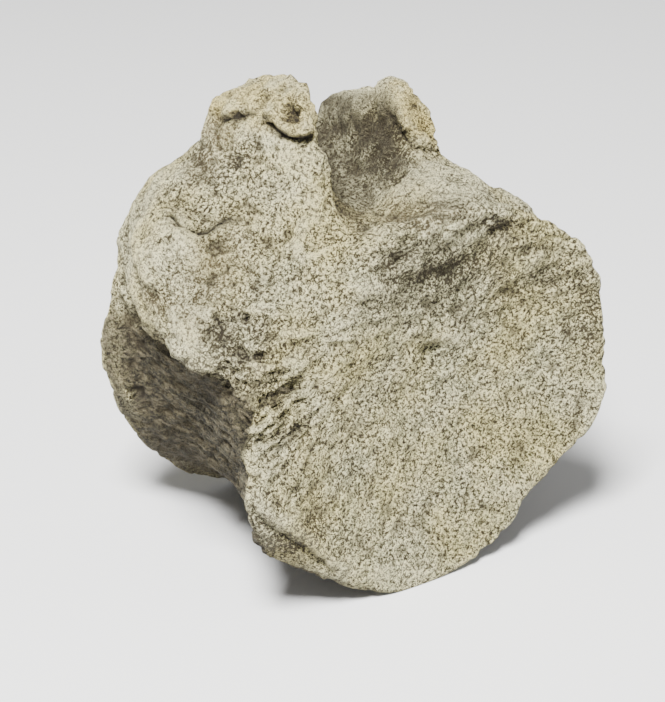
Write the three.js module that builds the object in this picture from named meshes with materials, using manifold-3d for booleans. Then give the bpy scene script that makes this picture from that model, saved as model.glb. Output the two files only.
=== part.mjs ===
// A fossil plesiosaur vertebra, one piece of bone turned to stone, lying on the rims of its two ends.
// Millimetres. X runs to the right, Y runs from the seen end to the far end, Z is up and the floor is z = 0.
// The surface is the zero level of one function, bone(x, y, z), which is negative inside the bone.
// The function joins a waisted drum with dished ends, two broken arch stumps and two rib swellings.
// A net of triangles is drawn in onto that surface and spread over it, closer where the bone bends more, and
// a level cut gives the rims their small flats.

import * as THREE from "three";
import { mergeVertices } from "three/addons/utils/BufferGeometryUtils.js";
import Module from "manifold-3d";

// Sizes of the centrum, the drum-shaped body of the vertebra
const LENGTH = 54;
const AXIS_HEIGHT = 38.5;
const WAIST_DEPTH = 7.5;
const WAIST_DEPTH_BELOW = 1.5;
const WAIST_BREADTH = 2.6;
const RIM_ROUNDING = 3.2;

// Each end: the radius of its rim, the radius, depth and middle of its dish, and the wear along its rim.
// A wear mark stands at an angle in degrees, counted from +X towards +Z, and spreads over some degrees.
const SEEN_END = {
  rimRadius: 40.9,
  dishRadius: 43,
  dishDepth: 8,
  dishX: 6,
  dishZ: 2.6,
  pitX: 5.3,
  pitZ: 5.2,
  marks: [
    { angle: -47, spread: 10, rise: -1.5 },
    { angle: -82, spread: 22, rise: -0.4 },
    { angle: -142, spread: 13, rise: 4.2 },
    { angle: -18, spread: 12, rise: 2.9 },
    { angle: 5, spread: 25, rise: 2.5 },
    { angle: 30, spread: 14, rise: 2 },
    { angle: 88, spread: 26, rise: -4.4 },
  ],
};
const FAR_END = {
  rimRadius: 41.4,
  dishRadius: 39,
  dishDepth: 8,
  dishX: -1,
  dishZ: 1,
  pitX: -1,
  pitZ: 1.5,
  marks: [
    { angle: 90, spread: 24, rise: -4.6 },
    { angle: 134, spread: 11, rise: 0 },
    { angle: 180, spread: 14, rise: 0.3 },
    { angle: 157, spread: 14, rise: -1.1 },
    { angle: -90, spread: 30, rise: -0.4 },
    { angle: 48, spread: 12, rise: 1.2 },
  ],
};
const DISH_CURVE = 1.4;
const PIT_DEPTH = 0.9;
const PIT_RADIUS = 2.4;

// Rounded swellings and stumps: middle from the centrum's axis, half sizes, lean about Y in degrees,
// edge rounding of the square ones, and the breadth of the fillet to the bone that they grow from
const LEFT_RIB_SWELLING = { at: [-20.1, 4, 15.4], half: [21.7, 24, 17.3], lean: 16, fillet: 8 };
const RIGHT_RIB_SWELLING = { at: [20.9, 3, 11.3], half: [22.1, 21, 13.8], lean: -11.2, fillet: 8 };
const LEFT_REAR_SWELLING = { at: [-18.8, 12, 19.2], half: [17.9, 22, 14.3], lean: 34, fillet: 8 };
const LEFT_SHOULDER = { at: [-19, 1.5, 24.7], half: [11.1, 19.3, 15.3], lean: -27, edge: 9, fillet: 8 };
const RIGHT_SHOULDER = { at: [15.2, 6.2, 20.4], half: [7.1, 18.7, 12.2], lean: 22.2, edge: 7, fillet: 7 };
const LEFT_PEDICEL = { at: [-18.3, 0, 40.2], half: [8.5, 13, 19.8], lean: 15, edge: 6, fillet: 8 };
const RIGHT_PEDICEL = { at: [14.3, 3.4, 33.2], half: [3.6, 8.1, 17.7], lean: 8.3, edge: 3, fillet: 4.5 };
const RIGHT_PEDICEL_TAIL = { at: [11.5, 14.9, 29.8], half: [3.9, 13, 20.3], lean: -3.6, edge: 3.5, fillet: 5 };
const RIGHT_BUTTRESS = { at: [12, -11, 28.5], half: [9, 12.5, 7], lean: 22, fillet: 6 };

// Lumps that stand a little out of them: the left stump's cap with a lobe in front, and the boss and the tongue
// of the rib facet
const LEFT_CAP = { at: [-17.1, -0.5, 47], half: [9.5, 14.2, 6.8], lean: 5, fillet: 3 };
const LEFT_CAP_LOBE = { at: [-15.4, -8.2, 49.4], half: [4.6, 4.6, 3.4], lean: 0, fillet: 0.8 };
const BOSS = { at: [-34.7, 2, 25], half: [7, 9, 8.6], lean: 0, fillet: 5 };
const TONGUE = { at: [-32.8, -5.4, 13.4], half: [6.8, 7.6, 10.4], lean: 0, fillet: 5 };

// Hollows worn into them: the trough beside the facet runs from one place to the other
const TROUGH = { from: [-30, -10.6, 35], to: [-39, -16.4, 19], radius: 5, rounding: 4 };
const HORSESHOE = { at: [-38.4, -3.4, 37.6], half: [7, 6.4, 6.4], lean: 0, rounding: 2 };

// Worn and broken faces: a point on each, the way it looks, and the rounding where it meets the bone
const LEFT_BREAK = { at: [-15, -2, 56.1], facing: [-0.29, 0.34, 1], rounding: 2.5 };
const RIGHT_BREAK = { at: [15, 8, 47.1], facing: [0.34, -0.23, 1], rounding: 2.5 };
const RIGHT_TAIL_BREAK = { at: [12, 18, 43.4], facing: [0.03, 0.34, 1], rounding: 2.5 };
const RIGHT_FRONT_BREAK = { at: [15, 2.6, 42.5], facing: [0, -0.8, 0.6], rounding: 3 };
const UPPER_RAMP = { at: [-12.5, -24.5, 28], facing: [-0.75, -0.58, 0.32] };
const SIDE_RAMP = { at: [-20, -22.5, 13.5], facing: [-0.2, -0.75, 0.62] };
const RAMP_BLEND = 7;
const RAMP_ROUNDING = 11;
const TOP_BEVEL = { at: [2, -26.4, 33.4], facing: [-0.1, -0.78, 0.62], rounding: 6 };
const LOW_BEVEL = { at: [-28.2, -27, -23.2], facing: [-0.45, -0.7, -0.5], rounding: 2.2 };

// The neural canal, a round-bottomed groove between the arch stumps
const CANAL = { x: -1, height: 46, radius: 10.5, rounding: 3 };

// The net of triangles: a ball with its poles in the two dishes. Its rings crowd towards the rims.
const NET_AROUND = 104;
const NET_RINGS = 56;
const RING_CROWDING = 0.55;
const START_RADIUS = 90;
const RELAX_ROUNDS = 24;
const RELAX_PULL = 0.5;
const EDGE_PULL = 5;
const EDGE_RADIUS = 4;

// How far the finished bone is cut off level above its lowest point
const FLAT_CUT = 0.8;

const STONE = { color: 0x9c9079, roughness: 0.86, metalness: 0 };

// Blends: the lesser and the greater of two distances, rounded over a breadth
function smoothMin(a, b, breadth) {
  const h = THREE.MathUtils.clamp(0.5 + (0.5 * (b - a)) / breadth, 0, 1);
  return b * (1 - h) + a * h - breadth * h * (1 - h);
}

function smoothMax(a, b, breadth) {
  return -smoothMin(-a, -b, breadth);
}

// Signed distances to the plain shapes
function leaning(shape, x, y, z) {
  const lean = THREE.MathUtils.degToRad(shape.lean);
  const dx = x - shape.at[0];
  const dz = z - shape.at[2];
  return [
    dx * Math.cos(lean) - dz * Math.sin(lean),
    y - shape.at[1],
    dx * Math.sin(lean) + dz * Math.cos(lean),
  ];
}

function swelling(shape, x, y, z) {
  const p = leaning(shape, x, y, z);
  const scaled = Math.hypot(...p.map((v, i) => v / shape.half[i]));
  const steep = Math.hypot(...p.map((v, i) => v / shape.half[i] ** 2));
  return (scaled * (scaled - 1)) / (steep + 1e-6);
}

function stump(shape, x, y, z) {
  const d = leaning(shape, x, y, z).map((v, i) => Math.abs(v) - shape.half[i] + shape.edge);
  const outside = Math.hypot(...d.map((v) => Math.max(v, 0)));
  return outside + Math.min(Math.max(...d), 0) - shape.edge;
}

function channel(shape, x, y, z) {
  const from = new THREE.Vector3(...shape.from);
  const way = new THREE.Vector3(...shape.to).sub(from);
  const p = new THREE.Vector3(x, y, z).sub(from);
  const share = THREE.MathUtils.clamp(p.dot(way) / way.lengthSq(), 0, 1);
  return p.addScaledVector(way, -share).length() - shape.radius;
}

function face(shape, x, y, z) {
  const length = Math.hypot(...shape.facing);
  const along = [x, y, z].map((v, i) => (v - shape.at[i]) * shape.facing[i]);
  return (along[0] + along[1] + along[2]) / length;
}

// The centrum
function rimRadius(end, angle) {
  const full = 2 * Math.PI;
  return end.marks.reduce((radius, mark) => {
    const away = angle - THREE.MathUtils.degToRad(mark.angle);
    const turn = THREE.MathUtils.euclideanModulo(away + Math.PI, full) - Math.PI;
    return radius + mark.rise * Math.exp(-((turn / THREE.MathUtils.degToRad(mark.spread)) ** 2));
  }, end.rimRadius);
}

function dish(end, x, z) {
  const away = Math.hypot(x - end.dishX, z - end.dishZ);
  const share = Math.min(away / end.dishRadius, 1);
  const fromPit = Math.hypot(x - end.pitX, z - end.pitZ);
  const pit = PIT_DEPTH * Math.exp(-((fromPit / PIT_RADIUS) ** 2));
  return end.dishDepth * (1 - share ** 2) ** DISH_CURVE + pit;
}

function drumSide(x, y, z) {
  const along = THREE.MathUtils.clamp(y / (LENGTH / 2), -1, 1);
  const share = (along + 1) / 2;
  const angle = Math.atan2(z, x);
  const rim = rimRadius(SEEN_END, angle) * (1 - share) + rimRadius(FAR_END, angle) * share;
  const waist = WAIST_DEPTH + WAIST_DEPTH_BELOW * (0.5 - 0.5 * Math.sin(angle));
  return Math.hypot(x, z) - rim + waist * (1 - Math.abs(along) ** WAIST_BREADTH);
}

function betweenEnds(sides, x, y, z) {
  const half = LENGTH / 2;
  const seen = -half + dish(SEEN_END, x, z) - y;
  const far = y - half + dish(FAR_END, x, z);
  return smoothMax(smoothMax(sides, seen, RIM_ROUNDING), far, RIM_ROUNDING);
}

function canal(x, z) {
  const aside = Math.abs(x - CANAL.x);
  const below = Math.min(z - CANAL.height, 0);
  return Math.hypot(aside, below) - CANAL.radius;
}

// The whole bone, measured from the middle of the centrum's axis
function bone(x, y, z) {
  const join = (sum, shape, distance) => smoothMin(sum, distance, shape.fillet);
  const wear = (sum, shape) => smoothMax(sum, face(shape, x, y, z), shape.rounding);
  const hollow = (sum, shape, distance) => smoothMax(sum, -distance, shape.rounding);

  let sum = drumSide(x, y, z);
  for (const shape of [LEFT_RIB_SWELLING, LEFT_REAR_SWELLING, RIGHT_RIB_SWELLING]) {
    sum = join(sum, shape, swelling(shape, x, y, z));
  }
  for (const shape of [LEFT_SHOULDER, RIGHT_SHOULDER]) {
    sum = join(sum, shape, stump(shape, x, y, z));
  }
  const rightTail = wear(stump(RIGHT_PEDICEL_TAIL, x, y, z), RIGHT_TAIL_BREAK);
  const leftPedicel = wear(stump(LEFT_PEDICEL, x, y, z), LEFT_BREAK);
  const rightPedicel = wear(wear(stump(RIGHT_PEDICEL, x, y, z), RIGHT_BREAK), RIGHT_FRONT_BREAK);
  sum = join(sum, RIGHT_PEDICEL_TAIL, rightTail);
  sum = join(sum, LEFT_PEDICEL, leftPedicel);
  sum = join(sum, RIGHT_PEDICEL, rightPedicel);
  sum = hollow(sum, HORSESHOE, swelling(HORSESHOE, x, y, z));
  sum = hollow(sum, TROUGH, channel(TROUGH, x, y, z));
  for (const shape of [LEFT_CAP, LEFT_CAP_LOBE, RIGHT_BUTTRESS, BOSS, TONGUE]) {
    sum = join(sum, shape, swelling(shape, x, y, z));
  }
  sum = betweenEnds(sum, x, y, z);

  const ramps = smoothMin(face(UPPER_RAMP, x, y, z), face(SIDE_RAMP, x, y, z), RAMP_BLEND);
  sum = smoothMax(sum, ramps, RAMP_ROUNDING);
  sum = wear(wear(sum, TOP_BEVEL), LOW_BEVEL);
  return smoothMax(sum, -canal(x, z), CANAL.rounding);
}

function steepest(p) {
  const step = 0.2;
  const slope = new THREE.Vector3(
    bone(p.x + step, p.y, p.z) - bone(p.x - step, p.y, p.z),
    bone(p.x, p.y + step, p.z) - bone(p.x, p.y - step, p.z),
    bone(p.x, p.y, p.z + step) - bone(p.x, p.y, p.z - step),
  );
  return slope.divideScalar(2 * step);
}

// Moves a point onto the surface along the steepest slope
function settle(p, rounds) {
  for (let i = 0; i < rounds; i++) {
    const slope = steepest(p);
    p.addScaledVector(slope, -bone(p.x, p.y, p.z) / Math.max(slope.lengthSq(), 0.3));
  }
}

// A ball whose rings are turned towards the rims, as a share of the way from pole to pole
function netBall() {
  const ball = new THREE.SphereGeometry(1, NET_AROUND, NET_RINGS);
  ball.deleteAttribute("normal");
  ball.deleteAttribute("uv");
  const place = ball.attributes.position;
  const rimAngle = Math.atan2(SEEN_END.rimRadius, LENGTH / 2);
  const p = new THREE.Vector3();
  for (let i = 0; i < place.count; i++) {
    p.fromBufferAttribute(place, i);
    const fromPole = Math.acos(THREE.MathUtils.clamp(Math.abs(p.y), 0, 1));
    const share = fromPole / (Math.PI / 2);
    const crowded = share - (RING_CROWDING * Math.sin(4 * Math.PI * share)) / (4 * Math.PI);
    const beyondRim = rimAngle + (2 * crowded - 1) * (Math.PI / 2 - rimAngle);
    const angle = share < 0.5 ? 2 * crowded * rimAngle : beyondRim;
    const round = Math.hypot(p.x, p.z) || 1;
    const out = fromPole < 1e-6 ? 0 : Math.sin(angle) / round;
    place.setXYZ(i, p.x * out, Math.sign(p.y) * Math.cos(angle), p.z * out);
  }
  return mergeVertices(ball, 1e-4);
}

// Points run in from outside to the surface, then spread out over it, closer where it bends more
function boneGeometry() {
  const skin = netBall();
  const place = skin.attributes.position;
  const corners = skin.index.array;

  const points = [];
  for (let i = 0; i < place.count; i++) {
    const ray = new THREE.Vector3().fromBufferAttribute(place, i).normalize();
    let reach = START_RADIUS;
    for (let n = 0; n < 200; n++) {
      const gap = bone(ray.x * reach, ray.y * reach, ray.z * reach);
      if (gap < 0.01) break;
      reach -= 0.7 * gap;
    }
    points.push(ray.multiplyScalar(reach));
  }

  const neighbours = points.map(() => new Set());
  for (let i = 0; i < corners.length; i += 3) {
    for (let k = 0; k < 3; k++) {
      const from = corners[i + k];
      const to = corners[i + ((k + 1) % 3)];
      neighbours[from].add(to);
      neighbours[to].add(from);
    }
  }

  for (let round = 0; round < RELAX_ROUNDS; round++) {
    const normals = points.map((p) => steepest(p).normalize());
    const bends = points.map((p, i) => {
      let most = 0;
      neighbours[i].forEach((n) => {
        most = Math.max(most, normals[i].distanceTo(normals[n]) / (p.distanceTo(points[n]) + 0.5));
      });
      return 1 + EDGE_PULL * Math.min(most * EDGE_RADIUS, 1) ** 2;
    });
    const pulls = points.map((p, i) => {
      const middle = new THREE.Vector3();
      let total = 0;
      neighbours[i].forEach((n) => {
        middle.addScaledVector(points[n], bends[n]);
        total += bends[n];
      });
      middle.divideScalar(total).sub(p);
      return middle.addScaledVector(normals[i], -middle.dot(normals[i]));
    });
    points.forEach((p, i) => {
      p.addScaledVector(pulls[i], RELAX_PULL);
      settle(p, 1);
    });
  }
  points.forEach((p, i) => {
    settle(p, 4);
    place.setXYZ(i, p.x, p.y, p.z);
  });
  return skin;
}

const wasm = await Module();
wasm.setup();

function solid(geometry) {
  return new wasm.Manifold(
    new wasm.Mesh({
      numProp: 3,
      vertProperties: Float32Array.from(geometry.attributes.position.array),
      triVerts: Uint32Array.from(geometry.index.array),
    }),
  );
}

// Cuts the rims level just above their lowest point, which makes the small flats that the bone lies on
function cutLevel(geometry) {
  geometry.computeBoundingBox();
  const { min, max } = geometry.boundingBox;
  const depth = 20;
  const room = new THREE.BoxGeometry(2 * (max.x - min.x), 2 * (max.y - min.y), depth);
  room.deleteAttribute("normal");
  room.deleteAttribute("uv");
  room.translate(0, 0, min.z + FLAT_CUT - depth / 2);
  const cut = solid(geometry).subtract(solid(mergeVertices(room))).getMesh();
  return new THREE.BufferGeometry()
    .setAttribute("position", new THREE.BufferAttribute(cut.vertProperties, 3))
    .setIndex(new THREE.BufferAttribute(cut.triVerts, 1));
}

const geometry = cutLevel(boneGeometry().translate(0, 0, AXIS_HEIGHT));
geometry.computeBoundingBox();
const box = geometry.boundingBox;
geometry.translate(-(box.min.x + box.max.x) / 2, -(box.min.y + box.max.y) / 2, -box.min.z);

const vertebra = new THREE.Mesh(geometry, new THREE.MeshStandardMaterial(STONE));
vertebra.name = "vertebra";

const part = new THREE.Group();
part.add(vertebra);

export default part;
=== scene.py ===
"""A fossil vertebra of a plesiosaur, life size, as it lies on a museum's table.

The drum with its ribs' swellings and broken arch stumps comes from the frame. Its skin is cut fine, and the
wear, cracks, pits, grooves and grain of the stone bone are sculpted on it before it gets its earthy finish.
"""

import math

import bmesh
import bpy
import numpy as np
from mathutils import Euler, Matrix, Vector, noise


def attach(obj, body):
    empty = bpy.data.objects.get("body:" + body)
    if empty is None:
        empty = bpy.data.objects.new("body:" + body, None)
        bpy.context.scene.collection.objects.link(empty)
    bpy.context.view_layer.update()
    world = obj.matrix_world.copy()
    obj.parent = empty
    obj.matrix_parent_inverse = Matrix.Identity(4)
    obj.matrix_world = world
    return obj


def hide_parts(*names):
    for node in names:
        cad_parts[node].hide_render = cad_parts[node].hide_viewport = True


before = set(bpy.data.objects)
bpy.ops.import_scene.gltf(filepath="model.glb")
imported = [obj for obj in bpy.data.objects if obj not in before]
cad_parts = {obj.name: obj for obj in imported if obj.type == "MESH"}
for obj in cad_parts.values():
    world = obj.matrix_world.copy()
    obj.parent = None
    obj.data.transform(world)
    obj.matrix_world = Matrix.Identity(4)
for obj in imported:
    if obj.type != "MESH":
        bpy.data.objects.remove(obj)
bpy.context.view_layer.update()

bl_info = {
    "name": "Fossil Plesiosaur Vertebra",
    "version": (1, 0, 0),
    "blender": (4, 5, 0),
    "location": "View3D > Sidebar > Fossil",
    "description": "Sculpts and finishes a fossil plesiosaur vertebra on its solid frame",
    "category": "Object",
}

MM = 0.001
NODE = "vertebra"
PIECE = "fossil_vertebra"
BODY = "root"

# The drum's axis in the row frame, in millimetres. Every place on the bone below is measured from it:
# X to the right of the seen end, Y from the middle of the drum to its far end, Z up.
AXIS = (-0.242, -0.031, 38.717)
RIM_RADIUS = 41.0

# Vertices nearer than SNAP to a crack move onto its line, and those within SNAP_REACH close up behind them
SNAP = 0.28
SNAP_REACH = 1.1

# How often each edge of the solid is cut, and the rounds that smooth its facets away: each one draws the
# skin in by SMOOTH_IN and then lets it out by SMOOTH_OUT, so that it doesn't shrink
SKIN_CUTS = 3
MERGE_GAP = 1e-6
SMOOTH_ROUNDS = 14
SMOOTH_IN = 0.5
SMOOTH_OUT = 0.52

# Rounds that blur the skin, to find its pores and its wide hollows
PORE_ROUNDS = 6
HOLLOW_ROUNDS = 60

# The grain's turn about X, Y and Z, so that its lattice doesn't show on the flat ends
GRAIN_TURN = (0.5, 0.35, 0.8)

# Seed of the small bends in the cracks, so that each run draws the same ones
WAVER_SEED = 7

# Cracks: the line, its width and depth in millimetres, and how dark its bottom is
CAP_LINE = [
    (-24.3, 7.1, 46.6),
    (-23.5, 5.1, 47.7),
    (-22.6, 3.1, 48.5),
    (-21.2, 1.3, 49.3),
    (-19.4, -0.6, 50.2),
]
CAP_LOBE = [
    (-19.4, -0.6, 50.2),
    (-19.4, -2.7, 48.7),
    (-19.1, -4.3, 47.8),
    (-18.3, -5.9, 47.3),
    (-17.3, -7.2, 46.7),
    (-16.2, -8.1, 46.6),
    (-14.9, -8.7, 46.8),
    (-13.4, -8.7, 47.5),
]
HORSESHOE = [
    (-35.2, 5.0, 33.3),
    (-35.9, 2.4, 32.2),
    (-35.5, 0.4, 31.3),
    (-34.5, -1.0, 30.6),
    (-33.2, -1.9, 30.3),
    (-31.6, -2.3, 30.5),
    (-29.9, -2.4, 31.3),
    (-28.0, -2.7, 32.3),
    (-26.4, -3.4, 33.0),
]
SECOND_HORSESHOE = [(-34.7, -3.5, 28.1), (-32.2, -4.0, 28.3), (-29.8, -4.1, 29.2), (-27.8, -4.1, 30.5)]
KNOB_EDGE = [
    (9.6, 4.4, 44.2),
    (9.7, 2.4, 42.2),
    (11.2, 0.5, 39.6),
    (12.6, -1.0, 38.0),
    (14.7, -2.3, 36.9),
    (17.3, -1.7, 36.6),
]
CREVICE = [
    (-37.4, -10.2, 13.6),
    (-36.4, -10.6, 15.6),
    (-34.1, -11.2, 17.3),
    (-31.6, -12.0, 17.2),
    (-28.8, -13.6, 18.6),
]
SHORT_CRACK = [(-23.6, 1.5, 42.9), (-23.8, 0.5, 41.5), (-24.5, -0.3, 39.9)]
REAR_GROOVE = [(-37.1, 22.6, -9.5), (-36.2, 21.0, -9.2), (-35.4, 19.1, -8.4)]
LOW_REAR_GROOVE = [(-36.8, 22.9, -11.2), (-35.9, 21.3, -11.0), (-35.1, 19.1, -9.8)]
DISH_CRACK = [(13.6, -22.6, 27.2), (16.3, -23.0, 27.4), (18.6, -23.4, 28.2)]
UPPER_DISH_CRACK = [(15.0, -23.8, 31.8), (15.2, -23.5, 30.2), (15.9, -23.2, 28.6)]
DISH_PIT = [(3.4, -18.1, 5.0), (4.4, -18.3, 5.6), (5.6, -18.3, 5.0), (7.0, -18.4, 5.4)]
LOW_EDGE = [
    (-37.6, -26.4, -10.6),
    (-36.0, -26.7, -13.6),
    (-33.4, -26.9, -16.6),
    (-29.6, -26.9, -20.0),
    (-24.9, -26.6, -25.0),
    (-19.0, -26.2, -31.4),
]
RIM_CRACK = [(17.4, -23.1, 32.6), (18.6, -23.5, 31.4), (20.4, -24.0, 30.2)]
RIDGE_BACK = [
    (-37.6, -10.4, 8.2),
    (-36.4, -11.4, 7.0),
    (-34.9, -13.2, 5.6),
    (-34.4, -16.4, 4.8),
    (-34.7, -20.1, 4.9),
]
UPPER_FURROW = [
    (-33.5, -17.3, 7.7),
    (-32.3, -19.8, 8.8),
    (-30.1, -20.9, 9.7),
    (-27.7, -21.2, 9.8),
    (-25.3, -21.3, 10.0),
]
MIDDLE_FURROW = [
    (-34.4, -21.3, 5.3),
    (-32.1, -22.6, 5.9),
    (-29.1, -22.5, 6.2),
    (-26.2, -22.2, 6.9),
    (-23.4, -21.9, 7.8),
]
LOWER_FURROW = [
    (-36.2, -24.3, 0.1),
    (-33.2, -24.8, -0.3),
    (-30.3, -24.5, -0.4),
    (-26.8, -24.1, -0.8),
    (-23.1, -23.4, -1.0),
]
LOWEST_FURROW = [(-35.3, -25.2, -1.5), (-32.7, -25.2, -2.2), (-29.5, -24.8, -2.4), (-26.1, -24.2, -2.5)]
FACET_FURROW = [(-34.8, -9.8, 19.1), (-34.6, -11.1, 17.2), (-34.5, -12.0, 15.4), (-34.3, -13.5, 12.3)]
SHORT_FURROW = [(-34.0, -13.7, 12.3), (-32.6, -15.2, 11.6), (-31.5, -16.5, 11.9), (-29.8, -17.7, 12.9)]
FAR_CRACK = [(-22.0, 23.1, 14.0), (-18.5, 22.0, 12.2), (-15.6, 21.3, 12.0), (-12.0, 20.4, 9.6)]
FAR_RIM_CRACK = [(27.5, 25.6, 17.5), (25.0, 24.6, 15.0), (23.4, 23.7, 11.8), (20.6, 22.7, 9.6)]
FAR_LOW_CRACK = [(-3.0, 24.3, -27.5), (0.5, 23.6, -25.2), (3.0, 23.7, -25.4), (7.5, 23.1, -22.4)]
EAR_CRACK = [(-15.6, -3.0, 52.5), (-15.8, -4.5, 51.5), (-15.7, -5.9, 50.5), (-15.6, -6.8, 49.2)]
CRACKS = [
    (CAP_LINE, 0.5, 0.9, 1.0),
    (CAP_LOBE, 0.5, 1.3, 1.0),
    (HORSESHOE, 0.6, 1.1, 1.0),
    (SECOND_HORSESHOE, 0.6, 0.3, 0.25),
    (KNOB_EDGE, 0.6, 0.7, 0.6),
    (CREVICE, 0.8, 1.2, 0.45),
    (SHORT_CRACK, 0.5, 0.6, 0.5),
    (REAR_GROOVE, 0.5, 0.7, 0.8),
    (LOW_REAR_GROOVE, 0.5, 0.5, 0.6),
    (DISH_CRACK, 0.7, 0.6, 0.4),
    (UPPER_DISH_CRACK, 0.6, 0.6, 0.5),
    (DISH_PIT, 0.5, 0.3, 0.1),
    (RIM_CRACK, 0.6, 0.7, 0.5),
    (LOW_EDGE, 0.9, 0.6, 0.35),
    (RIDGE_BACK, 0.7, 0.7, 0.4),
    (UPPER_FURROW, 0.8, 0.45, 0.3),
    (MIDDLE_FURROW, 0.8, 0.7, 0.4),
    (LOWER_FURROW, 0.7, 0.5, 0.3),
    (LOWEST_FURROW, 0.6, 0.3, 0.2),
    (FACET_FURROW, 0.8, 0.9, 0.6),
    (SHORT_FURROW, 0.7, 0.8, 0.5),
    (EAR_CRACK, 0.5, 0.8, 0.6),
    (FAR_CRACK, 0.7, 0.7, 0.5),
    (FAR_RIM_CRACK, 0.6, 0.8, 0.5),
    (FAR_LOW_CRACK, 0.6, 0.6, 0.4),
]

# Steps: the line, the way to its proud side, the rise and how far back it runs out
STEPS = [
    (CAP_LINE, (-0.1, -0.1, 1.0), 0.7, 5.0),
    (CAP_LOBE, (0.3, 0.2, 1.0), 1.0, 3.6),
    (HORSESHOE, (-0.1, -0.5, -1.0), 0.5, 2.6),
    (KNOB_EDGE, (0.8, 0.0, 0.8), 0.9, 3.6),
    (LOW_EDGE, (0.6, 0.0, 0.8), 0.8, 3.0),
]

# Long soft troughs: the line, its width and its depth
RIB_BORDER = [
    (-38.4, 24.4, 7.5),
    (-37.0, 19.6, 6.5),
    (-36.5, 12.6, 5.5),
    (-37.6, 3.0, 5.4),
    (-38.7, -5.0, 6.4),
    (-37.5, -8.9, 5.6),
    (-35.4, -12.0, 5.0),
]
FOLD = [(-26.3, 11.1, 41.9), (-27.7, 7.1, 40.2), (-28.5, 4.5, 38.2)]
TROUGH = [(-28.4, -4.4, 31.0), (-32.6, -6.0, 25.0), (-36.0, -9.0, 20.0)]
TROUGHS = [(RIB_BORDER, 1.8, 1.3), (FOLD, 2.4, 1.1), (TROUGH, 2.4, 1.1)]

# Soft rises, and hollows where the rise is below 0: place, half sizes and rise
SOFT_FORMS = [
    ((-41.5, 2.6, 25.4), (4.2, 4.4, 3.8), 1.1),
    ((-41.8, 0.4, 19.8), (3.0, 3.0, 1.6), -0.7),
    ((-36.5, -3.0, 22.6), (2.4, 2.4, 5.0), -1.1),
    ((-39.6, -7.6, 15.5), (3.6, 3.4, 5.2), 1.3),
    ((-37.5, -9.8, 9.0), (3.0, 3.2, 2.6), 0.7),
    ((-15.7, -5.0, 51.0), (1.8, 2.0, 1.6), -1.8),
    ((-14.2, -7.1, 50.2), (1.2, 1.2, 1.2), 1.2),
    ((-15.2, -8.6, 48.3), (2.6, 1.6, 1.1), 0.7),
    ((-20.9, 4.6, 50.9), (4.0, 4.5, 2.2), 0.5),
    ((-13.0, -2.5, 52.0), (3.0, 4.0, 3.0), 0.9),
    ((9.0, 12.0, 41.8), (1.4, 2.6, 4.0), 0.6),
    ((8.5, 8.4, 41.0), (1.3, 1.3, 3.0), -1.0),
    ((7.2, 5.6, 35.5), (2.0, 2.0, 2.6), -1.4),
    ((6.5, -4.2, 34.0), (2.0, 2.2, 1.5), -1.3),
    ((11.6, 0.4, 38.6), (1.6, 2.0, 1.6), -1.2),
    ((5.2, -18.2, 5.3), (2.2, 2.4, 0.9), -0.3),
    ((6.8, -18.4, 7.4), (2.6, 2.0, 1.4), 0.5),
    ((5.5, -21.1, 21.6), (4.4, 2.0, 1.0), -0.8),
    ((15.2, -23.0, 27.8), (1.5, 1.6, 1.1), -0.8),
    ((17.8, -23.3, 28.6), (1.3, 1.5, 1.0), -0.7),
    ((16.2, -23.0, 30.4), (1.1, 1.5, 1.5), 0.7),
    ((12.0, -20.0, 13.0), (7.0, 3.0, 1.4), -0.5),
    ((26.0, -22.0, 15.0), (8.0, 3.0, 1.6), -0.5),
    ((-4.4, -22.4, 26.0), (4.0, 2.0, 1.4), -0.7),
    ((-1.0, 18.2, 1.5), (2.4, 2.4, 1.8), -0.9),
    ((8.0, 20.0, 14.0), (10.0, 3.0, 3.0), -0.8),
    ((-16.0, 21.0, -8.0), (9.0, 3.0, 4.0), 0.7),
    ((14.0, 22.0, -16.0), (7.0, 3.0, 5.0), -0.8),
    ((-12.0, 22.0, 20.0), (6.0, 3.0, 4.0), -0.7),
    ((7.0, 0.0, -33.0), (1.6, 2.4, 3.0), -1.8),
    ((-7.0, 0.5, -33.0), (1.6, 2.4, 3.0), -1.8),
]

# Height and width in millimetres of each kind of relief that covers the bone
HEIGHT = {
    "swell": 0.75,
    "lump": 0.75,
    "grain": 0.34,
    "fibre": 0.7,
    "valley": 0.45,
    "overhang": 1.1,
    "wave": 1.3,
    "furrow": 1.0,
    "face wave": 0.75,
    "chip": 1.2,
    "break": 0.7,
    "canal": 0.7,
    "pit": 0.8,
}
WIDTH = {
    "swell": 10.0,
    "lump": 4.2,
    "grain": 1.8,
    "fibre": 1.3,
    "valley": 5.5,
    "overhang": 3.4,
    "wave": 2.2,
    "chip": 7.5,
    "break": 2.6,
    "pit": 4.4,
}

# Directions of the wavy lumps beside the rib's facet: along them, up across them and out of the bone
LUMP_WAYS = ((0.86, -0.48, 0.14), (-0.16, 0.02, 0.98), (-0.48, -0.88, -0.05))

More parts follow.
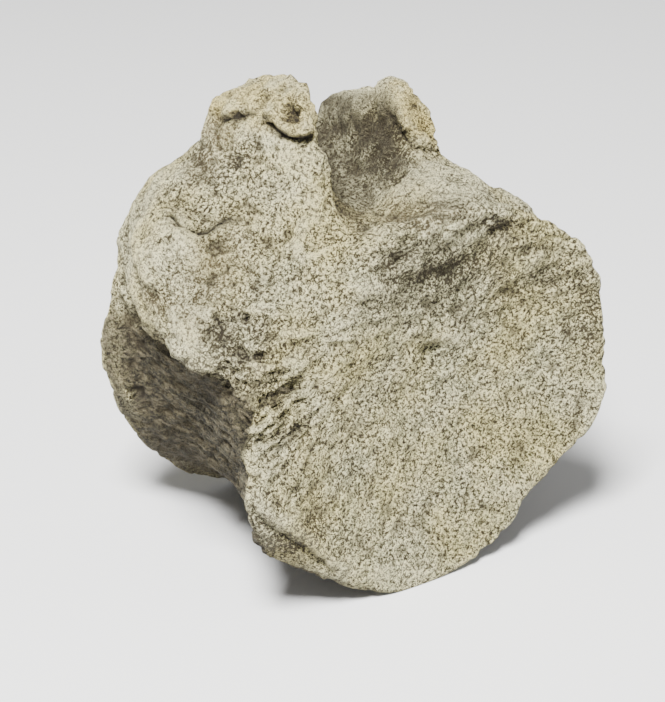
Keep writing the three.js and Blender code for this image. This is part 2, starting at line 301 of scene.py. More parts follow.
# Darker grain, from open pores and from painted shade on the upper dish, under the rib's border and on the
# low front edge: middle, half sizes and strength
DARK_PORES_AND_SHADE = [
    ((5.5, -21.1, 21.6), (11.0, 3.5, 4.0), 0.6),
    ((16.3, -23.0, 27.5), (4.0, 3.0, 2.6), 0.6),
    ((-4.4, -22.4, 25.5), (5.0, 3.0, 4.0), 0.4),
    ((26.0, -22.5, 17.0), (10.0, 3.0, 4.0), 0.2),
    ((37.0, -24.4, 6.0), (4.0, 3.0, 9.0), 0.4),
    ((-27.5, 7.0, 40.5), (3.0, 5.0, 4.0), 0.3),
    ((-38.6, -2.0, 9.0), (3.0, 11.0, 3.0), 0.6),
    ((-34.6, -12.4, 9.0), (3.4, 3.4, 5.0), 0.4),
    ((-30.0, -26.0, -21.0), (7.0, 2.5, 3.6), 0.8),
    ((-35.2, 3.6, 34.2), (2.4, 3.0, 2.4), 0.7),
    ((-41.8, -0.6, 18.6), (2.6, 3.6, 2.6), 0.5),
    ((-34.0, -11.4, 15.0), (3.6, 3.0, 3.0), 0.4),
    ((-30.0, -17.0, 10.0), (6.0, 6.0, 7.0), 0.25),
    ((-28.0, -16.0, 16.0), (4.0, 4.0, 3.0), 0.25),
    ((-16.0, -5.4, 50.7), (2.4, 2.4, 2.0), 0.5),
    ((-13.4, -4.6, 52.0), (2.0, 2.4, 1.6), 0.2),
    ((-23.8, 0.6, 41.5), (1.6, 1.6, 2.6), 0.7),
    ((-36.6, -26.0, -14.0), (4.0, 2.0, 5.0), 0.6),
    ((8.5, 3.0, 37.0), (4.0, 7.0, 5.0), 0.8),
    ((8.0, 21.0, 14.0), (10.0, 4.0, 4.0), 0.4),
    ((-12.0, 22.0, 21.0), (8.0, 4.0, 5.0), 0.5),
    ((14.0, 22.0, -16.0), (7.0, 4.0, 5.0), 0.4),
]

# Places stained brown by earth: middle, half sizes and strength
STAINS = [
    ((0.0, -15.0, 31.0), (3.5, 8.0, 1.8), 1.0),
    ((5.0, -21.0, 32.8), (6.0, 4.0, 1.6), 0.7),
    ((-24.8, 6.0, 45.4), (3.6, 4.0, 2.4), 1.3),
    ((-28.0, 7.0, 40.0), (3.0, 4.0, 4.0), 0.8),
    ((-32.6, -5.5, 25.0), (6.0, 5.0, 5.5), 0.6),
    ((-29.5, -5.0, 29.5), (4.0, 3.5, 4.0), 0.35),
    ((-41.5, 1.0, 19.0), (4.0, 5.0, 3.0), 0.5),
    ((-9.5, -16.0, 34.0), (2.4, 4.0, 3.0), 0.6),
    ((12.0, -4.0, 36.0), (3.0, 4.0, 2.6), 0.3),
    ((-38.0, -6.0, 17.0), (3.4, 4.0, 4.0), 0.6),
    ((12.6, 2.0, 42.4), (2.4, 5.0, 3.0), 0.35),
    ((-4.0, 22.0, 30.0), (9.0, 4.0, 3.0), 0.6),
    ((22.0, 22.0, -4.0), (6.0, 4.0, 9.0), 0.3),
]

# The stage, in metres: the floor's half size, and each lamp's place and size
FLOOR_REACH = 3.0
KEY_PLACE = (-0.33, -0.30, 0.80)
KEY_SIZE = 0.26
FILL_PLACE = (0.70, -0.60, 0.45)
FILL_SIZE = 0.60
LAMP_AIM = (0.0, 0.0, 0.04)

# The view of the photograph, from the drum's axis
VIEW_TURN = 31.438
VIEW_HEIGHT = 25.106
VIEW_DISTANCE = 400.0
VIEW_AIM = (-4.596, 0.0, -0.143)
FOCAL_PIXELS = 2120.0
PICTURE_HEIGHT = 702.0


def bone_place(co):
    """Places in millimetres from the drum's axis."""
    return co / MM - np.array(AXIS)


def smooth_step(low, high, value):
    """0 below low, 1 above high and smooth between them."""
    share = np.clip((value - low) / (high - low), 0.0, 1.0)
    return share * share * (3.0 - 2.0 * share)


def grain_noise(places, size, octaves=3, stretch=(1.0, 1.0, 1.0), shift=0.0):
    """Layered noise between about -1 and 1, whose lumps are size across and stretch times longer."""
    scaled = places / (np.array(stretch) * size) + shift
    return np.array([noise.fractal(Vector(p), 1.0, 2.0, octaves) for p in scaled])


def cell_noise(places, size, shift=0.0):
    """Distance to the nearest cell's middle, as a share of size."""
    scaled = places / size + shift
    return np.array([noise.voronoi(Vector(p))[0][0] for p in scaled])


def wavering(points, spacing=0.8, waver=0.3):
    """A line drawn through points with small seeded bends, as a break in bone runs."""
    made = []
    for first, second in zip(points, points[1:]):
        first, second = Vector(first), Vector(second)
        count = max(1, round((second - first).length / spacing))
        for i in range(count):
            place = first.lerp(second, i / count)
            made.append(place + waver * noise.noise_vector(place * 0.7))
    return np.array(made + [Vector(points[-1])])


def nearest_on_line(places, points):
    """Distance to a line through points, the nearest place on it and how far along it that is, 0 to 1."""
    points = np.array(points)
    lengths = np.linalg.norm(np.diff(points, axis=0), axis=1)
    before = np.concatenate([[0.0], np.cumsum(lengths)])
    best = np.full(len(places), 1e9)
    nearest = np.zeros_like(places)
    along = np.zeros(len(places))
    for i, length in enumerate(lengths):
        way = points[i + 1] - points[i]
        share = np.clip((places - points[i]) @ way / (length * length), 0.0, 1.0)
        foot = points[i] + share[:, None] * way
        away = np.linalg.norm(places - foot, axis=1)
        closer = away < best
        best[closer] = away[closer]
        nearest[closer] = foot[closer]
        along[closer] = (before[i] + share[closer] * length) / before[-1]
    return best, nearest, along


def fade_at_ends(along, share=0.15):
    """1 along a line and 0 at its two ends."""
    return smooth_step(0.0, share, along) * smooth_step(0.0, share, 1.0 - along)


def groove(places, points, width, depth):
    """A soft groove along a line."""
    away, _, along = nearest_on_line(places, points)
    return -depth * np.exp(-((away / width) ** 2)) * fade_at_ends(along)


def step(places, points, proud_side, rise, reach):
    """A step along a line: the bone on the proud side stands out by rise, and falls back over reach."""
    away, nearest, along = nearest_on_line(places, points)
    side = (places - nearest) @ np.array(proud_side)
    edge = smooth_step(-0.1, 0.5, side)
    return rise * edge * np.exp(-((away / reach) ** 2)) * fade_at_ends(along)


def soft_form(places, at, half, rise):
    """A soft rise, or a hollow where rise is below 0."""
    q = (places - np.array(at)) / np.array(half)
    return rise * np.exp(-np.sum(q * q, axis=1))


def zones(places, outward):
    """Named masks between 0 and 1 for the kinds of surface on the bone.

    face: the two dished ends; waist: the hollow sides below the ribs; broken: the tops of the arch stumps;
    canal: the groove between them; rough: the wavy bone beside the rib's facet; lip: the canal's fine lines;
    rim: the edges of the ends; under: what faces down.
    """
    x, y, z = places.T
    radius = np.hypot(x, z)
    endwise = smooth_step(0.45, 0.75, np.abs(outward[:, 1])) * smooth_step(10.0, 14.0, np.abs(y))
    face = endwise * smooth_step(38.0, 30.0, z) * smooth_step(-38.0, -34.0, x)
    border = 6.0 + 2.2 * grain_noise(places, 4.5, 3, shift=71.0)
    below_ribs = smooth_step(border + 3.2, border - 1.8, z + 0.08 * np.maximum(x, 0.0))
    between_rims = smooth_step(-26.0, -23.5, y) * smooth_step(26.5, 24.5, y) * (1.0 - endwise)
    left_top = smooth_step(45.5, 48.5, z) * smooth_step(-8.0, -10.0, x)
    knob = smooth_step(38.5, 41.5, z + 0.5 * (x - 12.0)) * smooth_step(9.0, 12.0, x)
    knob = knob * smooth_step(9.0, 6.0, y)
    in_canal = smooth_step(12.5, 10.0, np.abs(x + 1.0)) * smooth_step(29.0, 33.0, z + 0.12 * y)
    canal = in_canal * smooth_step(-9.0, 0.0, y) * (1.0 - endwise)
    rough = np.exp(-(((x + 30.0) / 8.5) ** 2 + ((z - 6.0) / 12.5) ** 2)) * smooth_step(-8.0, -12.0, y)
    lip = soft_form(places, (4.0, -19.0, 32.5), (9.0, 7.0, 2.2), 1.0)
    rim = smooth_step(20.0, 25.0, np.abs(y)) * smooth_step(RIM_RADIUS - 7.0, RIM_RADIUS - 2.5, radius)
    # under: what faces down, which the finish darkens with painted shade
    under = smooth_step(-0.15, -0.65, outward[:, 2])
    return {
        "face": face,
        "under": under,
        "waist": below_ribs * between_rims,
        "broken": np.clip(left_top + knob, 0.0, 1.0),
        "canal": canal,
        "rough": rough,
        "lip": np.clip(lip, 0.0, 1.0),
        "rim": rim,
    }


def edge_ends(skin):
    """The two vertex numbers of each edge."""
    skin.verts.index_update()
    return np.array([(e.verts[0].index, e.verts[1].index) for e in skin.edges])


def around(values, ends):
    """The mean of each vertex's neighbours' values."""
    count = np.bincount(ends.ravel(), minlength=len(values))
    total = np.empty_like(values)
    for i in range(values.shape[1]):
        column = values[:, i]
        total[:, i] = np.bincount(ends[:, 0], column[ends[:, 1]], len(values))
        total[:, i] += np.bincount(ends[:, 1], column[ends[:, 0]], len(values))
    return total / count[:, None]


def fine_skin(node):
    """The node's skin as one closed mesh, cut fine and smoothed over its facets without shrinking."""
    skin = bmesh.new()
    skin.from_mesh(node.data)
    bmesh.ops.remove_doubles(skin, verts=skin.verts[:], dist=MERGE_GAP)
    bmesh.ops.subdivide_edges(skin, edges=skin.edges[:], cuts=SKIN_CUTS, use_grid_fill=True, smooth=1.0)
    ends = edge_ends(skin)
    co = np.array([v.co for v in skin.verts])
    loose = smooth_step(0.4, 1.0, co[:, 2] / MM)[:, None]
    for _ in range(SMOOTH_ROUNDS):
        co += SMOOTH_IN * loose * (around(co, ends) - co)
        co -= SMOOTH_OUT * loose * (around(co, ends) - co)
    move_skin(skin, co)
    return skin


def read_skin(skin):
    """Places and outward directions of the skin's vertices."""
    co = np.array([v.co for v in skin.verts])
    outward = np.array([v.normal for v in skin.verts])
    return co, outward


def move_skin(skin, co):
    """Puts the skin's vertices at co, none under the level that the bone rests on."""
    co[:, 2] = np.maximum(co[:, 2], 0.0)
    for vertex, place in zip(skin.verts, co):
        vertex.co = place
    skin.normal_update()


def foot_hold(co):
    """1 away from the two feet and 0 on them, so that sculpting leaves the bone on its level."""
    return smooth_step(0.2, 2.2, co[:, 2] / MM)


def gather_on_line(places, outward, points):
    """Slides the places beside a line onto it, so that a crack's bottom runs along the skin's edges."""
    away, nearest, _ = nearest_on_line(places, points)
    slide = nearest - places
    slide -= np.sum(slide * outward, axis=1)[:, None] * outward
    gap = np.linalg.norm(slide, axis=1)
    left = np.clip((gap - SNAP) / (SNAP_REACH - SNAP), 0.0, 1.0) * SNAP_REACH
    share = np.where((away < 2.0 * SNAP_REACH) & (gap < SNAP_REACH), 1.0 - left / np.maximum(gap, 1e-6), 0.0)
    return places + slide * share[:, None]


def carve_forms(skin, strength):
    """Carves the rises, hollows, steps, troughs and cracks. Returns how dark the cracks are."""
    co, outward = read_skin(skin)
    places = bone_place(co)
    cracks = [(wavering(points), width, depth, dark) for points, width, depth, dark in CRACKS]
    for points, *_ in cracks:
        places = gather_on_line(places, outward, points)
    co = (places + np.array(AXIS)) * MM
    lift = np.zeros(len(co))
    for at, half, rise in SOFT_FORMS:
        lift += soft_form(places, at, half, rise)
    for points, width, depth in TROUGHS:
        lift += groove(places, points, width, depth)
    for points, proud_side, rise, reach in STEPS:
        lift += step(places, wavering(points), proud_side, rise, reach)
    darkness = np.zeros(len(co))
    for points, width, depth, dark in cracks:
        cut = -groove(places, points, width, 1.0)
        lift -= depth * cut
        darkness = np.maximum(darkness, dark * cut)
    move_skin(skin, co + outward * (lift * strength * foot_hold(co) * MM)[:, None])
    return darkness


def carve_relief(skin, zone, strength):
    """The lumps, pits, fibres and open grain that cover the whole bone."""
    co, outward = read_skin(skin)
    places = bone_place(co)
    turned = places @ np.array(Euler(GRAIN_TURN).to_matrix()).T
    quiet = 1.0 - 0.45 * zone["face"]
    calm = 1.0 - 0.8 * zone["rim"]
    lift = HEIGHT["swell"] * quiet * grain_noise(turned, WIDTH["swell"], 3)
    lift += HEIGHT["lump"] * quiet * calm * grain_noise(turned, WIDTH["lump"], 3, shift=7.0)
    lift += HEIGHT["grain"] * calm * grain_noise(turned, WIDTH["grain"], 2, shift=15.0)
    fibres = grain_noise(places, WIDTH["fibre"], 2, stretch=(1.0, 9.0, 1.0), shift=3.0)
    lift += HEIGHT["fibre"] * zone["waist"] * calm * fibres
    valleys = grain_noise(turned, WIDTH["valley"], 2, shift=31.0)
    lift -= HEIGHT["valley"] * quiet * np.exp(-((valleys / 0.13) ** 2))
    overhang = np.exp(-((nearest_on_line(places, RIB_BORDER)[0] / 5.0) ** 2))
    lift += HEIGHT["overhang"] * overhang * grain_noise(turned, WIDTH["overhang"], 2, shift=61.0)
    across = places @ np.array(LUMP_WAYS).T
    waves = grain_noise(across, WIDTH["wave"], 2, stretch=(3.2, 1.0, 1.4), shift=21.0)
    furrows = np.exp(-(((waves + 0.05) / 0.10) ** 2))
    lift += zone["rough"] * (HEIGHT["wave"] * waves - HEIGHT["furrow"] * furrows)
    lift += HEIGHT["face wave"] * zone["face"] * smooth_step(2.0, 16.0, places[:, 2]) * waves
    chips = grain_noise(turned, WIDTH["chip"], 2, shift=41.0)
    lift -= HEIGHT["chip"] * zone["rim"] * np.clip(chips - 0.1, 0.0, 1.0)
    crumbs = grain_noise(turned, WIDTH["break"], 2, shift=51.0)
    lift += (HEIGHT["break"] * zone["broken"] + HEIGHT["canal"] * zone["canal"]) * crumbs
    cells = cell_noise(turned, WIDTH["pit"], shift=5.0)
    pit_share = 0.3 + 0.7 * zone["rough"] + 0.5 * zone["broken"] + 0.5 * zone["canal"]
    lift -= HEIGHT["pit"] * pit_share * np.exp(-((cells / 0.17) ** 2))
    move_skin(skin, co + outward * (lift * strength * foot_hold(co) * MM)[:, None])


def depth_below(skin, rounds):
    """How far each vertex lies under its blurred surroundings, in millimetres."""
    co, outward = read_skin(skin)
    ends = edge_ends(skin)
    level = co
    for _ in range(rounds):
        level = 0.5 * level + 0.5 * around(level, ends)
    return np.sum((level - co) * outward, axis=1) / MM


def finish_masks(skin, places, zone, cracks):
    """The masks that the finish reads, from where the skin lies and how far it was sculpted."""
    pore_depth = depth_below(skin, PORE_ROUNDS)
    hollow_depth = depth_below(skin, HOLLOW_ROUNDS)
    # hollow: painted shade in the pores and wide hollows, the deeper the darker, and a painted shadow along
    # the rib's lower border over the waist
    hollow = 0.8 * smooth_step(0.06, 0.34, pore_depth) + 0.6 * smooth_step(0.3, 1.4, hollow_depth)
    hollow -= groove(places, RIB_BORDER, 3.0, 0.45)
    return {
        "waist": zone["waist"],
        "broken": zone["broken"],
        "canal": zone["canal"],
        "face": zone["face"],
        "lip": zone["lip"],
        "under": zone["under"],
        # open: darker grain from open pores, and painted shade on the upper dish, the rib's border and the
        # low front edge
        "open": sum(soft_form(places, at, half, strength) for at, half, strength in DARK_PORES_AND_SHADE),
        "stain": sum(soft_form(places, at, half, strength) for at, half, strength in STAINS),
        "hollow": hollow,
        "crack": cracks,
        "rubbed": smooth_step(0.1, 0.8, -hollow_depth),
    }


def write_masks(mesh, masks):
    """Stores named masks on the mesh's vertices for the finish to read."""
    for name, values in masks.items():
        layer = mesh.attributes.new(name, "FLOAT", "POINT")
        layer.data.foreach_set("value", np.clip(values, 0.0, 1.0).astype(np.float32))


def add_node(tree, kind, x, y, **values):
    """A shader node at a place in the tree's drawing, with its settings."""
    node = tree.nodes.new(kind)
    node.location = (x, y)
    for name, value in values.items():
        setattr(node, name, value)
    return node


def mixed(tree, x, y, share, first, second, blend="MIX"):
    """A colour that goes from first to second by share."""
    node = add_node(tree, "ShaderNodeMix", x, y, data_type="RGBA", blend_type=blend)
    for socket, value in zip((node.inputs[0], node.inputs[6], node.inputs[7]), (share, first, second)):
        if hasattr(value, "links"):
            tree.links.new(value, socket)
        else:
            socket.default_value = value
    return node.outputs[2]


def counted(tree, x, y, operation, first, second=None, clamp=False):
    """One sum, product or other operation on numbers."""
    node = add_node(tree, "ShaderNodeMath", x, y, operation=operation, use_clamp=clamp)
    for socket, value in zip(node.inputs, (first, second)):
        if value is None:
            continue
        if hasattr(value, "links"):
            tree.links.new(value, socket)
        else:
            socket.default_value = value
    return node.outputs[0]


def ranged(tree, x, y, value, low, high, to_low=0.0, to_high=1.0):
    """Value moved from low..high to to_low..to_high, and held there."""
    node = add_node(tree, "ShaderNodeMapRange", x, y, clamp=True)
    tree.links.new(value, node.inputs["Value"])
    node.inputs["From Min"].default_value = low
    node.inputs["From Max"].default_value = high
    node.inputs["To Min"].default_value = to_low
    node.inputs["To Max"].default_value = to_high
    return node.outputs["Result"]


def noise_at(tree, x, y, vector, size, detail=3.0, roughness=0.55, distortion=0.0):
    """Noise with lumps size millimetres across."""
    node = add_node(tree, "ShaderNodeTexNoise", x, y)
    tree.links.new(vector, node.inputs["Vector"])
    node.inputs["Scale"].default_value = 1.0 / (size * MM)
    node.inputs["Detail"].default_value = detail
    node.inputs["Roughness"].default_value = roughness
    node.inputs["Distortion"].default_value = distortion
    return node.outputs["Fac"]


def worms_at(tree, x, y, vector, size, width):
    """Thin winding lines between lumps size millimetres across, 1 on the lines and 0 beside them."""
    lumps = noise_at(tree, x, y, vector, size, 1.0, 0.5, 0.8)
    away = counted(tree, x + 180, y, "ABSOLUTE", counted(tree, x + 90, y - 60, "SUBTRACT", lumps, 0.5))
    return ranged(tree, x + 270, y, away, 0.0, width, 1.0, 0.0)


def stretched(tree, x, y, vector, turn, stretch):
    """Places turned and drawn out, for grain, fibres and fine lines that run one way."""
    node = add_node(tree, "ShaderNodeMapping", x, y, vector_type="TEXTURE")
    tree.links.new(vector, node.inputs["Vector"])
    node.inputs["Rotation"].default_value = turn
    node.inputs["Scale"].default_value = stretch
    return node.outputs["Vector"]


def mask(tree, x, y, name):
    """One of the masks kept on the bone's vertices."""
    node = add_node(tree, "ShaderNodeAttribute", x, y, attribute_type="GEOMETRY", attribute_name=name)
    return node.outputs["Fac"]


def share_of(tree, x, y, first, second, strength=1.0):
    """Two masks, or a mask and a pattern, multiplied together and by a strength."""
    both = counted(tree, x, y, "MULTIPLY", first, second)
    return counted(tree, x + 150, y, "MULTIPLY", both, strength, True)


def fossil_bone_finish(colours, sizes):
    """Dull stone bone: spongy light and dark grain, brown fibres in the waist, and painted shade in the
    waist, the canal, the hollows and on what faces down.
    """
    material = bpy.data.materials.new("fossil bone")
    material.use_nodes = True
    tree = material.node_tree
    tree.nodes.clear()
    size = sizes.grain / MM
    place = add_node(tree, "ShaderNodeTexCoord", -2400, 0).outputs["Object"]
    lengthwise = stretched(tree, -2200, -500, place, (0.0, 0.0, 0.0), (1.0, 11.0, 1.0))
    lip_turn = (0.0, 0.0, math.radians(-VIEW_TURN))
    lipwise = stretched(tree, -2200, -900, place, lip_turn, (9.0, 1.0, 1.0))
    turned = stretched(tree, -2200, 200, place, GRAIN_TURN, (1.0, 1.0, 1.0))

    # Patterns
    grain = noise_at(tree, -1800, 400, turned, size, 4.0, 0.7)
    fine_grain = noise_at(tree, -1800, 200, turned, 0.4 * size, 2.0, 0.6)
    pores = worms_at(tree, -1800, 0, turned, 1.4 * size, 0.05)
    patches = noise_at(tree, -1800, -200, turned, 6.0, 4.0, 0.62)
    wide_patches = noise_at(tree, -1800, -400, turned, 17.0, 3.0, 0.5)
    fibres = noise_at(tree, -1800, -600, lengthwise, 0.9, 4.0, 0.62)
    lines = noise_at(tree, -1800, -800, lipwise, 1.5, 2.0, 0.5)

    # Masks kept on the vertices
    waist = mask(tree, -1800, -1000, "waist")
    hollow = mask(tree, -1800, -1150, "hollow")
    crack = mask(tree, -1800, -1300, "crack")
    broken = mask(tree, -1800, -1450, "broken")
    stain = mask(tree, -1800, -1600, "stain")
    rubbed = mask(tree, -1800, -1750, "rubbed")
    canal = mask(tree, -1800, -1900, "canal")
    face = mask(tree, -1800, -2050, "face")
    lip = mask(tree, -1800, -2200, "lip")
    under = mask(tree, -1800, -2350, "under")
    darker_pores_and_shade = mask(tree, -1800, -2500, "open")

    # Colour, from the grain to the stains, the painted shade and the cracks
    mottle = counted(tree, -1500, 300, "ADD", grain, counted(tree, -1650, 200, "MULTIPLY", fine_grain, 0.6))
    # Darker grain where the pores are open, and painted shade at some of those places
    pore_and_shade_darkening = counted(tree, -1650, 0, "MULTIPLY", darker_pores_and_shade, 0.13)
    mottle = counted(tree, -1450, 150, "SUBTRACT", mottle, pore_and_shade_darkening)
    worn = counted(tree, -1650, -80, "MULTIPLY", rubbed, 0.045)
    mottle = counted(tree, -1350, 150, "ADD", mottle, worn)
    light_share = ranged(tree, -1250, 300, mottle, 0.74, 0.86)
    base = mixed(tree, -1150, 300, light_share, colours.grain_dark, colours.grain_light)
    grey_share = share_of(tree, -1350, -200, ranged(tree, -1500, -200, patches, 0.45, 0.62), face, 0.9)
    base = mixed(tree, -950, 300, grey_share, base, colours.grey, "MULTIPLY")
    warm_share = ranged(tree, -1350, -400, wide_patches, 0.42, 0.62, 0.0, 1.0)
    base = mixed(tree, -750, 300, warm_share, base, colours.warm, "MULTIPLY")
    base = mixed(tree, -550, 300, counted(tree, -750, 0, "MULTIPLY", rubbed, 0.12), base, colours.rubbed)
    broken_share = share_of(tree, -750, -200, broken, ranged(tree, -950, -200, patches, 0.30, 0.55), 1.0)
    base = mixed(tree, -350, 300, broken_share, base, colours.broken, "MULTIPLY")
    # The waist: brown fibres, darkened further with painted shade under the ribs
    fibre_share = ranged(tree, -1350, -600, fibres, 0.46, 0.66)
    waist_colour = mixed(tree, -1150, -600, fibre_share, colours.waist_dark, colours.waist_light)
    base = mixed(tree, -150, 300, counted(tree, -350, -200, "MULTIPLY", waist, 0.92), base, waist_colour)
    stain_spots = ranged(tree, -550, -400, grain, 0.66, 0.4, 0.25, 1.0)
    stain_share = share_of(tree, -350, -400, stain, stain_spots, 0.85)
    base = mixed(tree, 50, 300, stain_share, base, colours.stain)
    # The canal: dark bone, darkened further with painted shade between the arch stumps
    canal_spots = ranged(tree, -350, -600, patches, 0.66, 0.46, 0.35, 1.0)
    canal_share = share_of(tree, -150, -500, canal, canal_spots, 0.92)
    base = mixed(tree, 250, 300, canal_share, base, colours.canal)
    line_share = share_of(tree, 50, -500, lip, ranged(tree, -150, -700, lines, 0.51, 0.45), 0.8)
    base = mixed(tree, 450, 300, line_share, base, colours.earth)
    pore_share = share_of(tree, 250, -500, pores, ranged(tree, 50, -700, patches, 0.4, 0.6, 0.1, 0.8), 1.0)
    base = mixed(tree, 650, 300, pore_share, base, colours.earth)
    # Painted shade in the pores, the hollows and under the rib's border
    base = mixed(tree, 850, 300, counted(tree, 650, 0, "MULTIPLY", hollow, 0.78), base, colours.earth)
    # Painted shade on what faces down
    base = mixed(tree, 1050, 300, counted(tree, 850, 0, "MULTIPLY", under, 0.55), base, colours.earth)
    base = mixed(tree, 1250, 300, crack, base, colours.crack)

    # Fine relief
    height = counted(tree, 650, -700, "ADD", grain, counted(tree, 450, -700, "MULTIPLY", fine_grain, 0.5))
    height = counted(tree, 850, -700, "ADD", height, counted(tree, 650, -850, "MULTIPLY", fibres, waist))
    height = counted(tree, 1000, -700, "SUBTRACT", height, counted(tree, 850, -850, "MULTIPLY", pores, 0.25))
    bump = add_node(tree, "ShaderNodeBump", 1300, -500)
    bump.inputs["Strength"].default_value = 1.0
    bump.inputs["Distance"].default_value = sizes.grain_depth
    tree.links.new(height, bump.inputs["Height"])

    shader = add_node(tree, "ShaderNodeBsdfPrincipled", 1500, 300)
    shader.inputs["Specular IOR Level"].default_value = 0.3
    tree.links.new(base, shader.inputs["Base Color"])
    tree.links.new(ranged(tree, 1200, 0, grain, 0.3, 0.7, 0.95, 0.78), shader.inputs["Roughness"])
    tree.links.new(bump.outputs["Normal"], shader.inputs["Normal"])
    output = add_node(tree, "ShaderNodeOutputMaterial", 1800, 300)
    tree.links.new(shader.outputs["BSDF"], output.inputs["Surface"])
    return material


def floor_finish(colour):
    """Pale matt paper."""
    material = bpy.data.materials.new("pale floor")
    material.use_nodes = True
    tree = material.node_tree
    shader = tree.nodes["Principled BSDF"]
    shader.inputs["Roughness"].default_value = 0.9
    shader.inputs["Base Color"].default_value = colour
    return material


def colour_property(name, description, default):
    """A colour that a user may change."""
    return bpy.props.FloatVectorProperty(
        name=name, description=description, default=default, size=4, min=0.0, max=1.0, subtype="COLOR"
    )


def length_property(name, description, default):
    """A length that a user may change."""
    return bpy.props.FloatProperty(
        name=name, description=description, default=default, min=0.0, subtype="DISTANCE", unit="LENGTH"
    )


class FossilSizes(bpy.types.PropertyGroup):
    """How strong the sculpted and the painted detail of the bone is."""

    forms: bpy.props.FloatProperty(
        name="Forms", description="Strength of the steps, cracks and lobes", default=1.0, subtype="FACTOR"
    )
    relief: bpy.props.FloatProperty(
        name="Relief", description="Strength of the lumps, pits and fibres", default=1.0, subtype="FACTOR"
    )
    grain: length_property("Grain", "Size of the spongy bone's grain", 0.0006)
    grain_depth: length_property("Grain depth", "Depth of the finest grain", 0.0022)


class FossilColours(bpy.types.PropertyGroup):
    """The colours of the stone bone."""

    grain_dark: colour_property("Dark grain", "Pores of the spongy bone", (0.055, 0.043, 0.02, 1.0))
    grain_light: colour_property("Light grain", "Struts of the spongy bone", (1.0, 0.935, 0.56, 1.0))
    grey: colour_property("Grey", "Tint of the grey patches on the ends", (0.88, 0.90, 0.88, 1.0))
    warm: colour_property("Warm", "Tint of the tan patches", (1.0, 0.95, 0.76, 1.0))
    rubbed: colour_property("Rubbed", "Edges rubbed light", (1.0, 0.93, 0.62, 1.0))
    broken: colour_property("Broken", "Tint of the yellowish broken tops", (1.0, 0.92, 0.70, 1.0))
    # waist_dark and waist_light: the waist's brown fibres, darkened further with painted shade under the
    # ribs
    waist_dark: colour_property("Dark fibre", "Dark fibres of the waist", (0.012, 0.009, 0.005, 1.0))
    waist_light: colour_property("Light fibre", "Light fibres of the waist", (0.24, 0.20, 0.12, 1.0))
    stain: colour_property("Stain", "Brown earth stains", (0.17, 0.13, 0.062, 1.0))
    # canal: dark bone of the canal, darkened further with painted shade between the arch stumps
    canal: colour_property("Canal", "Dark bone in the canal", (0.055, 0.044, 0.024, 1.0))
    # earth: earth in the pores and the canal's lines, and also the painted shade of the hollows and of what
    # faces down
    earth: colour_property("Earth", "Earth in the pores and hollows", (0.05, 0.038, 0.019, 1.0))
    crack: colour_property("Crack", "Bottoms of the cracks", (0.035, 0.028, 0.018, 1.0))


class FossilStage(bpy.types.PropertyGroup):
    """The floor and the light round the bone."""

    floor_colour: colour_property("Floor", "Colour of the floor", (0.80, 0.80, 0.79, 1.0))
    key_power: bpy.props.FloatProperty(
        name="Key light", description="Power of the large soft lamp overhead", default=33.0, unit="POWER"
    )
    fill_power: bpy.props.FloatProperty(
        name="Fill light", description="Power of the soft lamp at the side", default=1.6, unit="POWER"
    )
    sky: bpy.props.FloatProperty(
        name="Room light", description="Strength of the even light all round", default=0.31, subtype="FACTOR"
    )


class FOSSIL_OT_bone(bpy.types.Operator):
    """Sculpts the vertebra on its solid and gives it its finish"""

    bl_idname = "fossil.bone"
    bl_label = "Vertebra"

    def execute(self, context):
        sizes = context.scene.fossil_sizes
        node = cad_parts.get(NODE)
        if node is None:
            raise RuntimeError("the frame has no vertebra to sculpt")
        noise.seed_set(WAVER_SEED)
        skin = fine_skin(node)
        cracks = carve_forms(skin, sizes.forms)
        co, outward = read_skin(skin)
        places = bone_place(co)
        zone = zones(places, outward)
        carve_relief(skin, zone, sizes.relief)
        masks = finish_masks(skin, places, zone, cracks)
        mesh = bpy.data.meshes.new(PIECE)
        skin.to_mesh(mesh)
        skin.free()
        write_masks(mesh, masks)
        mesh.shade_smooth()
        bone = bpy.data.objects.new(PIECE, mesh)
        context.scene.collection.objects.link(bone)
        mesh.materials.append(fossil_bone_finish(context.scene.fossil_colours, sizes))
        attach(bone, BODY)
        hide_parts(NODE)
        return {"FINISHED"}


def lamp(name, at, size, power):
    """A large soft square lamp that points at the bone."""
    data = bpy.data.lights.new(name, "AREA")
    data.shape = "SQUARE"
    data.size = size
    data.energy = power
    made = bpy.data.objects.new(name, data)
    made.location = at
    made.rotation_euler = (Vector(LAMP_AIM) - Vector(at)).to_track_quat("-Z", "Y").to_euler()
    bpy.context.scene.collection.objects.link(made)


def photo_camera():
    """The camera at the photograph's place, aimed and framed as it was."""
    turn, height = math.radians(VIEW_TURN), math.radians(VIEW_HEIGHT)
    back = Vector(
        (-math.sin(turn) * math.cos(height), -math.cos(turn) * math.cos(height), math.sin(height))
    )
    aim = Vector(AXIS) + Vector(VIEW_AIM)
    data = bpy.data.cameras.new("photo camera")
    data.sensor_width = 36.0
    data.lens = FOCAL_PIXELS / PICTURE_HEIGHT * data.sensor_width
    data.clip_start = 0.01
    data.clip_end = 10.0
    made = bpy.data.objects.new("photo camera", data)
    made.location = (aim + back * VIEW_DISTANCE) * MM
    made.rotation_euler = (-back).to_track_quat("-Z", "Y").to_euler()
    bpy.context.scene.collection.objects.link(made)
    bpy.context.scene.camera = made


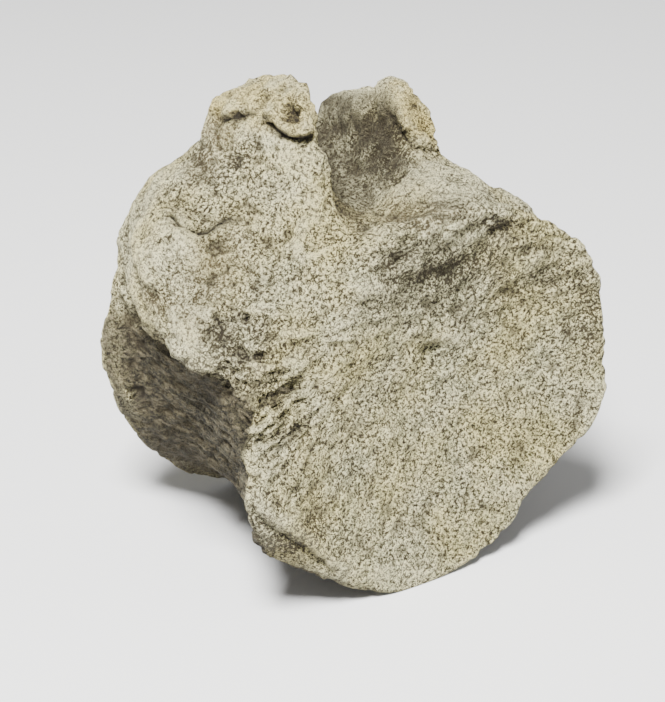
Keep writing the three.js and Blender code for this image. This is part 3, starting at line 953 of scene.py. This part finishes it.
class FOSSIL_OT_stage(bpy.types.Operator):
    """Lays the pale floor, hangs the soft lamps and sets the camera"""

    bl_idname = "fossil.stage"
    bl_label = "Stage"

    def execute(self, context):
        stage = context.scene.fossil_stage
        sheet = bmesh.new()
        bmesh.ops.create_grid(sheet, x_segments=1, y_segments=1, size=FLOOR_REACH)
        mesh = bpy.data.meshes.new("floor")
        sheet.to_mesh(mesh)
        sheet.free()
        floor = bpy.data.objects.new("floor", mesh)
        context.scene.collection.objects.link(floor)
        mesh.materials.append(floor_finish(stage.floor_colour))
        lamp("key lamp", KEY_PLACE, KEY_SIZE, stage.key_power)
        lamp("fill lamp", FILL_PLACE, FILL_SIZE, stage.fill_power)
        world = bpy.data.worlds.new("room")
        world.use_nodes = True
        background = world.node_tree.nodes["Background"]
        background.inputs["Color"].default_value = (1.0, 1.0, 1.0, 1.0)
        background.inputs["Strength"].default_value = stage.sky
        context.scene.world = world
        photo_camera()
        return {"FINISHED"}


class FOSSIL_PT_panel(bpy.types.Panel):
    """Lists the pieces and their settings"""

    bl_idname = "FOSSIL_PT_panel"
    bl_label = "Fossil Vertebra"
    bl_space_type = "VIEW_3D"
    bl_region_type = "UI"
    bl_category = "Fossil"

    def draw(self, context):
        for name in ("fossil_sizes", "fossil_colours", "fossil_stage"):
            group = getattr(context.scene, name)
            for key in group.bl_rna.properties.keys():
                if key not in ("rna_type", "name"):
                    self.layout.prop(group, key)
        self.layout.operator(FOSSIL_OT_bone.bl_idname)
        self.layout.operator(FOSSIL_OT_stage.bl_idname)


CLASSES = (
    FossilSizes,
    FossilColours,
    FossilStage,
    FOSSIL_OT_bone,
    FOSSIL_OT_stage,
    FOSSIL_PT_panel,
)


def register():
    """Registers the classes and the settings that the scene keeps."""
    for made in CLASSES:
        bpy.utils.register_class(made)
    bpy.types.Scene.fossil_sizes = bpy.props.PointerProperty(type=FossilSizes)
    bpy.types.Scene.fossil_colours = bpy.props.PointerProperty(type=FossilColours)
    bpy.types.Scene.fossil_stage = bpy.props.PointerProperty(type=FossilStage)


def unregister():
    """Takes the settings and the classes away again."""
    del bpy.types.Scene.fossil_stage
    del bpy.types.Scene.fossil_colours
    del bpy.types.Scene.fossil_sizes
    for made in reversed(CLASSES):
        bpy.utils.unregister_class(made)


def main():
    """Makes the whole scene."""
    register()
    bpy.ops.fossil.bone()
    bpy.ops.fossil.stage()


if __name__ == "__main__":
    main()
